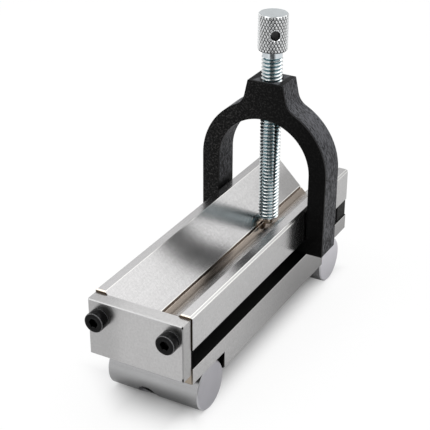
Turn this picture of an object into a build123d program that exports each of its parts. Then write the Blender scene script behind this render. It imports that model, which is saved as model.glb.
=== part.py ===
from build123d import *
from math import cos, radians, sin, tan
import os

# Sine V-block with a sliding screw clamp. Millimetres, +X across the block, +Y from the
# end plate to the rear, +Z up. The two rolls stand on Z = 0. Y = 0 is midway between the
# faces of the plate screws and the rear end, and X = 0 is the middle of the V.

# V-block
body_length = 127.0
body_width = 37.5
body_height = 33.8
land_width = 4.0
v_angle = 90.0
groove_width = 4.4
groove_depth = 0.7
slot_from_top = 13.1
slot_height = 7.4
slot_depth = 5.0
long_edge_chamfer = 0.9
end_edge_chamfer = 0.4

# Stops pressed into the rear ends of the side slots
slot_stop_length = 8.0
slot_stop_sink = 0.4
slot_stop_chamfer = 0.3

# Sine rolls and the notches that seat them
roll_centre_distance = 100.0
roll_diameter = 18.0
roll_inset = 0.65
roll_edge_chamfer = 0.4
notch_depth = 7.3
seat_gap = 0.02

# End plate
plate_thickness = 5.1
plate_height = 21.6
plate_top_drop = 1.1
plate_side_margin = 0.45
plate_edge_chamfer = 0.3

# Socket head cap screws, the same size in the plate and in the rolls
cap_thread_diameter = 4.0
cap_head_diameter = 7.2
cap_head_height = 4.0
cap_hex_across_flats = 3.0
cap_hex_depth = 2.0
cap_head_chamfer = 0.4
cap_end_chamfer = 0.5
cap_clearance = 0.25
tapped_clearance = 0.05
tapped_run_out = 1.0
plate_screw_length = 12.0
plate_screw_edge = 5.05
plate_screw_drop = 6.2
roll_screw_length = 25.0
roll_screw_offset = -2.8
roll_screw_angle = 40.0
roll_bore_depth = 5.0
roll_bore_clearance = 0.2

# Clamp yoke
yoke_position = 92.6
yoke_thickness = 12.0
leg_thickness = 6.9
leg_clearance = 0.35
leg_rise = 13.6
toe_end_gap = 0.6
toe_top_gap = 0.05
toe_play = 1.35
boss_depth = 14.7
boss_top_width = 14.3
boss_draft = 12.0
boss_root_fillet = 6.5
yoke_edge_chamfer = 0.4
bore_mouth_chamfer = 0.8

# Clamp screw, its head and its thrust tip
screw_diameter = 7.94
screw_clearance = 0.05
screw_end_chamfer = 0.7
neck_length = 2.2
head_standoff = 8.7
spigot_diameter = 6.0
spigot_length = 4.6
spigot_clearance = 0.02
head_diameter = 11.2
head_length = 14.2
head_top_chamfer = 0.5
head_bottom_fillet = 1.2
tommy_hole_diameter = 3.6
tommy_hole_chamfer = 0.3
tommy_hole_turn = 36.0
tip_side_gap = 0.2
tip_floor_gap = 0.05
tip_end_gap = 0.35
tip_round = 1.0
thrust_gap = 0.05
stem_diameter = 3.0
stem_length = 6.0
stem_clearance = 0.05

# Heights and stations worked out from the sizes above
roll_radius = roll_diameter / 2
notch_ceiling = roll_diameter + seat_gap
body_bottom = notch_ceiling - notch_depth
body_top = body_bottom + body_height
half_width = body_width / 2
v_half_width = half_width - land_width
v_slope = 1 / tan(radians(v_angle / 2))
flank_bottom = body_top - (v_half_width - groove_width / 2) * v_slope
groove_floor = flank_bottom - groove_depth
slot_top = body_top - slot_from_top
slot_bottom = slot_top - slot_height

total_length = cap_head_height + plate_thickness + body_length
plate_front = -total_length / 2 + cap_head_height
body_front = plate_front + plate_thickness
body_rear = body_front + body_length
body_middle = (body_front + body_rear) / 2
slot_stop_front = body_rear - slot_stop_sink - slot_stop_length
slot_stop_width = slot_depth - slot_stop_sink
slot_stop_x = half_width - slot_depth + slot_stop_width / 2
plate_top = body_top - plate_top_drop
plate_screw_x = half_width - plate_screw_edge
plate_screw_z = plate_top - plate_screw_drop

roll_y = roll_centre_distance / 2
notch_wall = roll_y - roll_radius - seat_gap
roll_length = body_width - 2 * roll_inset
roll_screw_seat = roll_radius - roll_bore_depth
roll_bore_diameter = cap_head_diameter + 2 * roll_bore_clearance
cap_hole_diameter = cap_thread_diameter + 2 * cap_clearance
tapped_diameter = cap_thread_diameter + 2 * tapped_clearance

yoke_axis = body_front + yoke_position
yoke_rear = yoke_axis + yoke_thickness / 2
leg_inside = half_width + leg_clearance
leg_outside = leg_inside + leg_thickness
toe_top = slot_top - toe_top_gap
toe_bottom = toe_top - (slot_height - toe_play)
toe_inside = half_width - slot_depth + toe_end_gap
arch_centre = body_top + leg_rise
arch_crown = arch_centre + leg_inside
boss_top = arch_crown + boss_depth
boss_foot_width = boss_top_width + 2 * boss_depth * tan(radians(boss_draft))

screw_radius = screw_diameter / 2
tip_bottom = groove_floor + tip_floor_gap
screw_bottom = flank_bottom + (screw_radius - groove_width / 2) * v_slope + tip_end_gap
screw_shoulder = boss_top + head_standoff + neck_length
head_middle = screw_shoulder + head_length / 2
nose_diameter = groove_width - 2 * tip_side_gap
nose_top = screw_bottom - thrust_gap


def roll_end(side):
    """Station of a roll's axis and the direction of its screw, front -1 or rear +1."""
    centre = Vector(roll_screw_offset, body_middle + side * roll_y, roll_radius)
    tilt = radians(roll_screw_angle)
    inward = Vector(0, -side * cos(tilt), sin(tilt))
    return centre, inward


def cap_screw(seat_plane, length):
    """Socket head cap screw whose head stands on seat_plane along its normal."""
    screw_axis = Axis(seat_plane.origin, seat_plane.z_dir)
    with BuildPart() as screw:
        with BuildSketch(seat_plane):
            Circle(cap_head_diameter / 2)
        extrude(amount=cap_head_height)
        with BuildSketch(seat_plane):
            Circle(cap_thread_diameter / 2)
        extrude(amount=-length)
        chamfer(screw.faces().sort_by(screw_axis)[0].edges(), cap_end_chamfer)
        chamfer(screw.faces().sort_by(screw_axis)[-1].edges(), cap_head_chamfer)
        with BuildSketch(seat_plane.offset(cap_head_height)):
            RegularPolygon(cap_hex_across_flats / 2, 6, major_radius=False)
        extrude(amount=-cap_hex_depth, mode=Mode.SUBTRACT)
    return screw


os.makedirs("parts", exist_ok=True)

# V-block: one ground profile along the whole block, then the roll notches and the holes
front_plane = Plane.XZ.offset(-body_front)
with BuildPart() as v_block_body:
    with BuildSketch(front_plane):
        with Locations((0, body_bottom)):
            Rectangle(body_width, body_height, align=(Align.CENTER, Align.MIN))
        with BuildLine():
            Polyline(
                (-v_half_width, body_top),
                (0, body_top - v_half_width * v_slope),
                (v_half_width, body_top),
                close=True,
            )
        make_face(mode=Mode.SUBTRACT)
        with Locations((0, groove_floor)):
            Rectangle(
                groove_width,
                body_top - groove_floor,
                align=(Align.CENTER, Align.MIN),
                mode=Mode.SUBTRACT,
            )
        with Locations((half_width, slot_bottom)):
            Rectangle(slot_depth, slot_height, align=(Align.MAX, Align.MIN), mode=Mode.SUBTRACT)
        with Locations((-half_width, slot_bottom)):
            Rectangle(slot_depth, slot_height, align=(Align.MIN, Align.MIN), mode=Mode.SUBTRACT)
    extrude(amount=-body_length)
    long_edges = v_block_body.edges().filter_by(Axis.Y)
    outer_edges = long_edges.group_by(Axis.X)[0] + long_edges.group_by(Axis.X)[-1]
    chamfer(outer_edges.group_by(Axis.Z)[-1] + outer_edges.group_by(Axis.Z)[0], long_edge_chamfer)
    for end_face in (v_block_body.faces().sort_by(Axis.Y)[0], v_block_body.faces().sort_by(Axis.Y)[-1]):
        upright = end_face.edges().filter_by(Axis.Z)
        level = end_face.edges().filter_by(Axis.X).group_by(Axis.Z)[-1]
        side_edges = upright.group_by(Axis.X)[0] + upright.group_by(Axis.X)[-1]
        chamfer(side_edges + level, end_edge_chamfer)
    for side in (-1, 1):
        end_station = body_middle + side * body_length / 2
        wall_station = body_middle + side * notch_wall
        with BuildSketch(Plane.YZ.offset(-half_width)):
            with Locations(((end_station + wall_station) / 2, body_bottom)):
                Rectangle(
                    abs(end_station - wall_station),
                    notch_depth,
                    align=(Align.CENTER, Align.MIN),
                )
        extrude(amount=body_width, mode=Mode.SUBTRACT)
        centre, inward = roll_end(side)
        with BuildSketch(Plane(origin=centre, x_dir=(1, 0, 0), z_dir=inward)):
            Circle(tapped_diameter / 2)
        extrude(amount=roll_screw_length - roll_screw_seat + tapped_run_out, mode=Mode.SUBTRACT)
    with BuildSketch(front_plane):
        with Locations((-plate_screw_x, plate_screw_z), (plate_screw_x, plate_screw_z)):
            Circle(tapped_diameter / 2)
    extrude(
        amount=-(plate_screw_length - plate_thickness + tapped_run_out),
        mode=Mode.SUBTRACT,
    )
v_block_body.part.label = "v_block_body"
export_step(v_block_body.part, "parts/v_block_body.step")

# End plate, a stop across the V, lower than the lands
with BuildPart() as end_plate:
    with BuildSketch(Plane.XZ.offset(-plate_front)):
        with Locations((0, plate_top)):
            Rectangle(
                body_width - 2 * plate_side_margin,
                plate_height,
                align=(Align.CENTER, Align.MAX),
            )
    extrude(amount=-plate_thickness)
    chamfer(end_plate.faces().sort_by(Axis.Y)[0].edges(), plate_edge_chamfer)
    with BuildSketch(Plane.XZ.offset(-plate_front)):
        with Locations((-plate_screw_x, plate_screw_z), (plate_screw_x, plate_screw_z)):
            Circle(cap_hole_diameter / 2)
    extrude(amount=-plate_thickness, mode=Mode.SUBTRACT)
end_plate.part.label = "end_plate"
export_step(end_plate.part, "parts/end_plate.step")

# Slot stops, black plugs sunk below the side and the end, that keep the toes in the slots
for name, side in (("left_slot_stop", -1), ("right_slot_stop", 1)):
    with BuildPart() as slot_stop:
        with BuildSketch(Plane.XZ.offset(-slot_stop_front)):
            with Locations((side * slot_stop_x, slot_bottom)):
                Rectangle(slot_stop_width, slot_height, align=(Align.CENTER, Align.MIN))
        extrude(amount=-slot_stop_length)
        chamfer(slot_stop.faces().sort_by(Axis.Y)[0].edges(), slot_stop_chamfer)
    slot_stop.part.label = name
    export_step(slot_stop.part, f"parts/{name}.step")

# Plate screws
for name, side in (("left_plate_screw", -1), ("right_plate_screw", 1)):
    seat = Plane(
        origin=(side * plate_screw_x, plate_front, plate_screw_z),
        x_dir=(1, 0, 0),
        z_dir=(0, -1, 0),
    )
    plate_screw = cap_screw(seat, plate_screw_length)
    plate_screw.part.label = name
    export_step(plate_screw.part, f"parts/{name}.step")

# Sine rolls, each drilled and counterbored for the screw that draws it into its corner
for name, side in (("front", -1), ("rear", 1)):
    centre, inward = roll_end(side)
    with BuildPart() as roll:
        with BuildSketch(Plane.YZ.offset(-roll_length / 2)):
            with Locations((centre.Y, centre.Z)):
                Circle(roll_radius)
        extrude(amount=roll_length)
        chamfer(roll.edges().filter_by(GeomType.CIRCLE), roll_edge_chamfer)
        bore_plane = Plane(origin=centre, x_dir=(1, 0, 0), z_dir=inward)
        with BuildSketch(bore_plane):
            Circle(cap_hole_diameter / 2)
        extrude(amount=roll_radius, both=True, mode=Mode.SUBTRACT)
        with BuildSketch(bore_plane.offset(-roll_screw_seat)):
            Circle(roll_bore_diameter / 2)
        extrude(amount=-roll_bore_depth, mode=Mode.SUBTRACT)
    roll.part.label = f"{name}_roll"
    export_step(roll.part, f"parts/{name}_roll.step")
    seat = Plane(origin=centre - inward * roll_screw_seat, x_dir=(1, 0, 0), z_dir=-inward)
    roll_screw = cap_screw(seat, roll_screw_length)
    roll_screw.part.label = f"{name}_roll_screw"
    export_step(roll_screw.part, f"parts/{name}_roll_screw.step")

# Clamp yoke: an arch with a tapped boss, whose toes hook under the lips of the side slots
with BuildPart() as clamp_yoke:
    with BuildSketch(Plane.XZ.offset(-yoke_rear)) as yoke_profile:
        with Locations((0, arch_centre)):
            Circle(leg_outside)
        with Locations((0, toe_bottom)):
            Rectangle(
                2 * leg_outside,
                arch_centre - toe_bottom,
                align=(Align.CENTER, Align.MIN),
            )
        with BuildLine():
            Polyline(
                (-boss_top_width / 2, boss_top),
                (-boss_foot_width / 2, arch_crown),
                (boss_foot_width / 2, arch_crown),
                (boss_top_width / 2, boss_top),
                close=True,
            )
        make_face()
        fillet(yoke_profile.vertices().group_by(Axis.Y)[-2], boss_root_fillet)
        with Locations((0, arch_centre)):
            Circle(leg_inside, mode=Mode.SUBTRACT)
        with Locations((0, toe_top)):
            Rectangle(
                2 * leg_inside,
                arch_centre - toe_top,
                align=(Align.CENTER, Align.MIN),
                mode=Mode.SUBTRACT,
            )
        with Locations((0, toe_bottom)):
            Rectangle(
                2 * toe_inside,
                toe_top - toe_bottom,
                align=(Align.CENTER, Align.MIN),
                mode=Mode.SUBTRACT,
            )
    extrude(amount=yoke_thickness)
    rims = clamp_yoke.faces().sort_by(Axis.Y)[0].edges() + clamp_yoke.faces().sort_by(Axis.Y)[-1].edges()
    chamfer(rims, yoke_edge_chamfer)
    with BuildSketch(Plane.XY.offset(boss_top)):
        with Locations((0, yoke_axis)):
            Circle(screw_radius + screw_clearance)
    extrude(amount=-(boss_depth + leg_inside / 2), mode=Mode.SUBTRACT)
    bore_mouth = clamp_yoke.edges().filter_by(GeomType.CIRCLE).group_by(Axis.Z)[-1]
    chamfer(bore_mouth, bore_mouth_chamfer)
clamp_yoke.part.label = "clamp_yoke"
export_step(clamp_yoke.part, "parts/clamp_yoke.step")

# Clamp screw: threaded length, plain neck, a spigot for the head and a blind bore for the tip
with BuildPart() as clamp_screw:
    with BuildSketch(Plane.XY.offset(screw_bottom)):
        with Locations((0, yoke_axis)):
            Circle(screw_radius)
    extrude(amount=screw_shoulder - screw_bottom)
    chamfer(clamp_screw.edges().group_by(Axis.Z)[0], screw_end_chamfer)
    with BuildSketch(Plane.XY.offset(screw_shoulder)):
        with Locations((0, yoke_axis)):
            Circle(spigot_diameter / 2)
    extrude(amount=spigot_length)
    with BuildSketch(Plane.XY.offset(screw_bottom)):
        with Locations((0, yoke_axis)):
            Circle(stem_diameter / 2 + stem_clearance)
    extrude(amount=stem_length + thrust_gap, mode=Mode.SUBTRACT)
clamp_screw.part.label = "clamp_screw"
export_step(clamp_screw.part, "parts/clamp_screw.step")

# Knurled head, cross-drilled for a tommy bar
with BuildPart() as knurled_head:
    with BuildSketch(Plane.XY.offset(screw_shoulder)):
        with Locations((0, yoke_axis)):
            Circle(head_diameter / 2)
    extrude(amount=head_length)
    chamfer(knurled_head.edges().group_by(Axis.Z)[-1], head_top_chamfer)
    fillet(knurled_head.edges().group_by(Axis.Z)[0], head_bottom_fillet)
    with BuildSketch(Plane.XY.offset(screw_shoulder)):
        with Locations((0, yoke_axis)):
            Circle(spigot_diameter / 2 + spigot_clearance)
    extrude(amount=spigot_length + spigot_clearance, mode=Mode.SUBTRACT)
    tommy_plane = Plane(
        origin=(0, yoke_axis, head_middle),
        x_dir=(0, 0, 1),
        z_dir=(sin(radians(tommy_hole_turn)), -cos(radians(tommy_hole_turn)), 0),
    )
    with BuildSketch(tommy_plane):
        Circle(tommy_hole_diameter / 2)
    extrude(amount=head_diameter, both=True, mode=Mode.SUBTRACT)
    chamfer(knurled_head.edges().filter_by(GeomType.BSPLINE), tommy_hole_chamfer)
knurled_head.part.label = "knurled_head"
export_step(knurled_head.part, "parts/knurled_head.step")

# Thrust tip: a round-nosed pad on a stem, so that the screw turns without marking the work
with BuildPart() as thrust_tip:
    with BuildSketch(Plane.XY.offset(tip_bottom)):
        with Locations((0, yoke_axis)):
            Circle(nose_diameter / 2)
    extrude(amount=nose_top - tip_bottom)
    fillet(thrust_tip.edges().group_by(Axis.Z)[0], tip_round)
    with BuildSketch(Plane.XY.offset(nose_top)):
        with Locations((0, yoke_axis)):
            Circle(stem_diameter / 2)
    extrude(amount=stem_length)
thrust_tip.part.label = "thrust_tip"
export_step(thrust_tip.part, "parts/thrust_tip.step")
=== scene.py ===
import math

import bmesh
import bpy
from mathutils import Matrix, Vector


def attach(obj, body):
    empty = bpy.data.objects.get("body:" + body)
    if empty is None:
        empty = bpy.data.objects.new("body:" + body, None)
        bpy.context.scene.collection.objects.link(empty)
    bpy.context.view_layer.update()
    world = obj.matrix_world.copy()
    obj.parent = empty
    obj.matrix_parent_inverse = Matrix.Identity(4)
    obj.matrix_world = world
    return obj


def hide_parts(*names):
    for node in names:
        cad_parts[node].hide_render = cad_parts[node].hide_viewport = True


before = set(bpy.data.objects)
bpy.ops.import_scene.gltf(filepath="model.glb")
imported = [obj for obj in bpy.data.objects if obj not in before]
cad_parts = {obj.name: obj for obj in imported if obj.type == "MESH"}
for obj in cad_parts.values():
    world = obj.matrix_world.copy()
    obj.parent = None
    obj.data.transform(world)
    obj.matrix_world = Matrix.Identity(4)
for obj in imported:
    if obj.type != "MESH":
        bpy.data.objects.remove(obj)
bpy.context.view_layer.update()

# Sizes of the vise in metres, the same as the solids'. Z = 0 is the surface that the rolls
# stand on, X = 0 the middle of the V, and +Y points from the end plate to the rear.
MM = 0.001

# A gap or an overlap too small to see, and how near two points of a rolled-up grid or of a
# piece are when they become one
HAIR = 0.02 * MM
SEAM_WELD = 0.001 * MM
WELD = 0.002 * MM

# Rolls and block; a roll's offset is from the block's middle to its own axis
ROLL_RADIUS = 9.0 * MM
ROLL_OFFSET = 50.0 * MM
NOTCH_TOP = 2 * ROLL_RADIUS + HAIR
HALF_WIDTH = 18.75 * MM
BODY_BOTTOM = NOTCH_TOP - 7.3 * MM
BODY_TOP = BODY_BOTTOM + 33.8 * MM
BODY_FRONT = -58.95 * MM
BODY_REAR = BODY_FRONT + 127.0 * MM
BODY_MIDDLE = (BODY_FRONT + BODY_REAR) / 2
V_HALF = HALF_WIDTH - 4.0 * MM
GROOVE_HALF = 2.2 * MM
FLANK_BOTTOM = BODY_TOP - (V_HALF - GROOVE_HALF)
SLOT_TOP = BODY_TOP - 13.1 * MM
SLOT_BOTTOM = SLOT_TOP - 7.4 * MM
SLOT_FLOOR = HALF_WIDTH - 5.0 * MM

# End plate, and the cap screws in it and in the rolls
PLATE_FRONT = BODY_FRONT - 5.1 * MM
PLATE_TOP = BODY_TOP - 1.1 * MM
PLATE_BOTTOM = PLATE_TOP - 21.6 * MM
PLATE_HALF = HALF_WIDTH - 0.45 * MM
PLATE_SCREW_X = HALF_WIDTH - 5.05 * MM
PLATE_SCREW_Z = PLATE_TOP - 6.2 * MM
PLATE_SCREW_LENGTH = 12 * MM
ROLL_SCREW_X = -2.8 * MM
ROLL_SCREW_TILT = math.radians(40)
ROLL_SCREW_SEAT = ROLL_RADIUS - 5.0 * MM
ROLL_SCREW_LENGTH = 25 * MM
CAP_RADIUS = 3.6 * MM
CAP_HEIGHT = 4.0 * MM
CAP_SHANK = 2.0 * MM
CAP_PITCH = 0.7 * MM
CAP_RUN_OUT = 1.2 * MM
SOCKET_FLATS = 3.0 * MM
SOCKET_DEPTH = 2.0 * MM
ROLL_BORE = CAP_RADIUS + 0.2 * MM

# Clamp yoke
YOKE_AXIS = BODY_FRONT + 92.6 * MM
YOKE_THICKNESS = 12.0 * MM
YOKE_EDGE = 0.20 * MM
LEG_INSIDE = HALF_WIDTH + 0.35 * MM
LEG_OUTSIDE = LEG_INSIDE + 6.9 * MM
TOE_INSIDE = SLOT_FLOOR + 0.6 * MM
TOE_TOP = SLOT_TOP - 0.05 * MM
TOE_BOTTOM = TOE_TOP - 6.05 * MM
ARCH_CENTRE = BODY_TOP + 13.6 * MM
BOSS_TOP = ARCH_CENTRE + LEG_INSIDE + 14.7 * MM
BOSS_TOP_HALF = 7.15 * MM
BOSS_DRAFT = math.radians(12)
BOSS_ROOT = 6.5 * MM
BORE_MOUTH = 0.8 * MM

# Clamp screw and its knurled head
SCREW_RADIUS = 3.97 * MM
SCREW_BOTTOM = 34.09 * MM
NECK = 2.2 * MM
SCREW_SHOULDER = BOSS_TOP + 8.7 * MM + NECK
THREAD_PITCH = 25.4 / 18 * MM
SPIGOT_RADIUS = 3.0 * MM
SPIGOT_LENGTH = 4.6 * MM
TIP_BORE_RADIUS = 1.55 * MM
TIP_BORE_DEPTH = 6.05 * MM
HEAD_RADIUS = 5.6 * MM
HEAD_TOP = SCREW_SHOULDER + 14.2 * MM
HEAD_MIDDLE = (SCREW_SHOULDER + HEAD_TOP) / 2
HEAD_FILLET = 1.2 * MM
TOMMY_RADIUS = 1.8 * MM
TOMMY_TURN = math.radians(36)

# How finely round pieces, threads and the knurl are divided
SIDES = 48
BORE_SIDES = 64
THREAD_ROWS = 8
KNURL_TEETH = 28
COLUMNS_PER_TOOTH = 12


class Tree:
    """A node tree that is filled from Python, one node at a time."""

    def __init__(self, node_tree):
        self.made = node_tree

    def node(self, kind, settings=None, values=(), out=None):
        """Adds a node, sets its own settings first, then its sockets by order or by name."""
        node = self.made.nodes.new(kind)
        for name, value in (settings or {}).items():
            setattr(node, name, value)
        sockets = [s for s in node.inputs if s.enabled]
        named = {s.name: s for s in reversed(sockets)}
        pairs = values.items() if isinstance(values, dict) else zip(sockets, values)
        for where, value in pairs:
            socket = named[where] if isinstance(where, str) else where
            if isinstance(value, Reading):
                self.made.links.new(value.socket, socket)
            else:
                socket.default_value = value
        first = next(s for s in node.outputs if s.enabled)
        return Reading(self, node.outputs[out] if out else first)

    def maths(self, operation, *values):
        """A Math node, for what Python has no sign for."""
        return self.node("ShaderNodeMath", {"operation": operation}, values)

    def point(self, x, y, z):
        return self.node("ShaderNodeCombineXYZ", values=(x, y, z))

    def parts(self, vector):
        """X, Y and Z of a vector."""
        split = self.node("ShaderNodeSeparateXYZ", values=(vector,))
        return tuple(split.beside(axis) for axis in "XYZ")

    def blend(self, share, first, second):
        """Goes from the first colour to the second as share goes from 0 to 1."""
        colours = (c if isinstance(c, Reading) else (*c, 1) for c in (first, second))
        settings = {"data_type": "RGBA", "clamp_factor": True}
        return self.node("ShaderNodeMix", settings, (share, *colours))

    def scaled(self, colour, level):
        """A colour times a number."""
        settings = {"data_type": "RGBA", "blend_type": "MULTIPLY"}
        return self.node("ShaderNodeMix", settings, (1.0, colour, self.point(level, level, level)))

    def step(self, value, start, end):
        """0 at start and 1 at end, with a smooth rise between them and no change past them."""
        settings = {"interpolation_type": "SMOOTHSTEP", "clamp": True}
        return self.node("ShaderNodeMapRange", settings, (value, start, end, 0.0, 1.0))

    def between(self, value, start, full, fading, gone):
        """0 before start, 1 from full to fading, and 0 after gone."""
        return self.step(value, start, full) * (1 - self.step(value, fading, gone))


class Reading:
    """A socket of a tree. Sums written with it become Math nodes."""

    def __init__(self, tree, socket):
        self.tree = tree
        self.socket = socket

    def beside(self, name):
        """Another output of the same node."""
        return Reading(self.tree, self.socket.node.outputs[name])

    def __add__(self, other):
        return self.tree.maths("ADD", self, other)

    def __sub__(self, other):
        return self.tree.maths("SUBTRACT", self, other)

    def __rsub__(self, other):
        return self.tree.maths("SUBTRACT", other, self)

    def __mul__(self, other):
        return self.tree.maths("MULTIPLY", self, other)

    def __truediv__(self, other):
        return self.tree.maths("DIVIDE", self, other)

    def __neg__(self):
        return 0.0 - self

    def __abs__(self):
        return self.tree.maths("ABSOLUTE", self)

    def __gt__(self, other):
        return self.tree.maths("GREATER_THAN", self, other)

    def __lt__(self, other):
        return self.tree.maths("LESS_THAN", self, other)

    __radd__ = __add__
    __rmul__ = __mul__


def least(first, second):
    return first.tree.maths("MINIMUM", first, second)


def most(first, second):
    return first.tree.maths("MAXIMUM", first, second)


def distance(first, second):
    """Length of a step whose two parts are at right angles."""
    return first.tree.maths("SQRT", first * first + second * second)


def grey(level):
    return (level, level, level)


# Meshes


def turned(profile, count):
    """Rings of points about Z, one for each radius and height of a profile; a radius is a
    number or a function of the angle."""
    rings = []
    for radius, height in profile:
        points = []
        for step in range(count):
            angle = 2 * math.pi * step / count
            reach = radius(angle) if callable(radius) else radius
            points.append((reach * math.cos(angle), reach * math.sin(angle), height))
        rings.append(points)
    return rings


def loft(mesh, rings, closed_start=True):
    """Joins rings of as many points each with quads, and closes the last by one face, and the
    first too unless its start is to stay open."""
    rows = [[mesh.verts.new(point) for point in points] for points in rings]
    count = len(rows[0])
    for low, high in zip(rows, rows[1:]):
        for step in range(count):
            after = (step + 1) % count
            mesh.faces.new((low[step], low[after], high[after], high[step]))
    if closed_start:
        mesh.faces.new(list(reversed(rows[0])))
    mesh.faces.new(rows[-1])


def hexagon(across_flats):
    """Radius of a hexagon's outline at an angle."""
    def reach(angle):
        turn = (angle + math.pi / 6) % (math.pi / 3) - math.pi / 6
        return across_flats / 2 / math.cos(turn)
    return reach


def arc(centre, radius, first, last, steps):
    """Points along an arc from the first angle to the last, both included."""
    angles = (first + (last - first) * step / steps for step in range(steps + 1))
    return [centre + radius * Vector((math.cos(angle), math.sin(angle))) for angle in angles]


def piece(name, mesh, material, smooth_below=35):
    """Makes an object from a bmesh, with clean outward faces and crisp edges kept."""
    bmesh.ops.remove_doubles(mesh, verts=mesh.verts, dist=WELD)
    bmesh.ops.recalc_face_normals(mesh, faces=mesh.faces)
    data = bpy.data.meshes.new(name)
    mesh.to_mesh(data)
    mesh.free()
    data.materials.append(material)
    data.shade_smooth()
    data.set_sharp_from_angle(angle=math.radians(smooth_below))
    made = bpy.data.objects.new(name, data)
    bpy.context.scene.collection.objects.link(made)
    return made


def baked(made):
    """Replaces an object's mesh by what its modifiers make of it, and drops them."""
    bpy.context.view_layer.update()
    graph = bpy.context.evaluated_depsgraph_get()
    result = bpy.data.meshes.new_from_object(made.evaluated_get(graph))
    result.name = made.name
    made.modifiers.clear()
    made.data = result
    return made


def carve(made, profile, sides, place):
    """Cuts a turned shape out of a piece."""
    mesh = bmesh.new()
    loft(mesh, turned(profile, sides))
    mesh.transform(place)
    tool = piece("cutter", mesh, NICKEL)
    modifier = made.modifiers.new("cut", "BOOLEAN")
    modifier.operation = "DIFFERENCE"
    modifier.solver = "EXACT"
    modifier.object = tool
    baked(made)
    data = tool.data
    bpy.data.objects.remove(tool)
    bpy.data.meshes.remove(data)


# Geometry Nodes trees for the threads and the knurl


def new_tree(name, inputs):
    """An empty Geometry Nodes tree with named inputs, and a reading of each."""
    made = bpy.data.node_groups.new(name, "GeometryNodeTree")
    made.interface.new_socket("Geometry", in_out="OUTPUT", socket_type="NodeSocketGeometry")
    for title, (kind, value) in inputs.items():
        socket = made.interface.new_socket(title, in_out="INPUT", socket_type="NodeSocket" + kind)
        if value is not None:
            socket.default_value = value
    tree = Tree(made)
    group = made.nodes.new("NodeGroupInput")
    readings = {title: Reading(tree, group.outputs[title]) for title in inputs}
    return tree, readings


def rolled_up(tree, grid, angle, radius, height, material):
    """Ends a tree: its grid is rolled up about Z, closed at the seam, made real geometry and
    given its material."""
    where = tree.point(
        tree.maths("COSINE", angle) * radius, tree.maths("SINE", angle) * radius, height)
    shape = tree.node("GeometryNodeSetPosition", values={"Geometry": grid, "Position": where})
    weld = {"Geometry": shape, "Distance": SEAM_WELD}
    shape = tree.node("GeometryNodeMergeByDistance", values=weld)
    shape = tree.node("GeometryNodeRealizeInstances", values=(shape,))
    shape = tree.node("GeometryNodeSetMaterial", values={"Geometry": shape, "Material": material})
    end = tree.made.nodes.new("NodeGroupOutput")
    tree.made.links.new(shape.socket, end.inputs[0])
    return tree.made


def thread_nodes():
    """A right-hand thread about Z: the rows of each pitch follow the helix, the flanks are
    straight, crest and root are flat and a row wide, and both ends are cut square to a
    ring."""
    tree, size = new_tree("screw thread", {
        "Radius": ("Float", 0.004), "Pitch": ("Float", 0.0014), "Depth": ("Float", 0.0008),
        "Bottom": ("Float", 0.0), "Top": ("Float", 0.01), "Lead": ("Float", 0.0005),
        "Bottom radius": ("Float", 0.003), "Top radius": ("Float", 0.004),
        "Turns": ("Int", 10), "Columns": ("Int", 481), "Material": ("Material", None),
    })
    grid = tree.node("GeometryNodeMeshGrid", values=(1.0, 1.0, size["Columns"], THREAD_ROWS + 1))
    along, over, _ = tree.parts(grid.beside("UV Map"))
    turns = along * size["Turns"]
    height = size["Bottom"] - size["Pitch"] + (turns + over) * size["Pitch"]
    flat = 1 / THREAD_ROWS
    wave = abs(tree.maths("FRACT", over + flat / 2) * 2 - 1)
    radius = size["Radius"] - size["Depth"] * ((wave - flat) / (1 - 2 * flat))
    rise = height - size["Bottom"]
    taper = (size["Radius"] - size["Bottom radius"]) / size["Lead"]
    lead_in = size["Bottom radius"] + most(rise, 0.0) * taper
    radius = least(radius, lead_in)
    play = SEAM_WELD / 10
    below = height < size["Bottom"] + play
    above = height > size["Top"] - play
    radius = radius * (1 - above) + size["Top radius"] * above
    radius = radius * (1 - below) + size["Bottom radius"] * below
    height = least(most(height, size["Bottom"]), size["Top"])
    return rolled_up(tree, grid, turns * (2 * math.pi), radius, height, size["Material"])


def knurl_nodes():
    """The head's outside: two crossing sets of helical grooves on a turned wall that has a
    rounded lower edge and a bevel at the top. Rows lie closer together near both ends."""
    tree, size = new_tree("diamond knurl", {
        "Radius": ("Float", 0.0056), "Depth": ("Float", 0.0003), "Bottom": ("Float", 0.0),
        "Length": ("Float", 0.0142), "Teeth": ("Int", 30), "Diamond height": ("Float", 0.002),
        "Crest": ("Float", 1.5), "Edge radius": ("Float", 0.0012), "Bevel": ("Float", 0.0005),
        "Columns": ("Int", 361), "Rows": ("Int", 97), "Material": ("Material", None),
    })
    grid = tree.node("GeometryNodeMeshGrid", values=(1.0, 1.0, size["Columns"], size["Rows"]))
    around, over, _ = tree.parts(grid.beside("UV Map"))
    crowding = 0.6 / (2 * math.pi)
    rise = size["Length"] * (over - tree.maths("SINE", over * (2 * math.pi)) * crowding)
    tooth = around * size["Teeth"]
    slope = rise / size["Diamond height"]
    first = 1 - abs(tree.maths("FRACT", tooth + slope) * 2 - 1)
    second = 1 - abs(tree.maths("FRACT", tooth - slope) * 2 - 1)
    diamond = least(least(first, second) * size["Crest"], 1.0)
    knurled = tree.step(rise, 0.0, 0.25 * MM)
    groove = size["Depth"] * (1 - diamond * knurled)
    edge = size["Edge radius"]
    short = most(edge - rise, 0.0)
    drop = edge - tree.maths("SQRT", most(edge * edge - short * short, 0.0))
    bevel = most(rise - size["Length"] + size["Bevel"], 0.0)
    radius = least(size["Radius"] - groove, size["Radius"] - bevel) - drop
    height = size["Bottom"] + rise
    return rolled_up(tree, grid, around * (2 * math.pi), radius, height, size["Material"])


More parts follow.
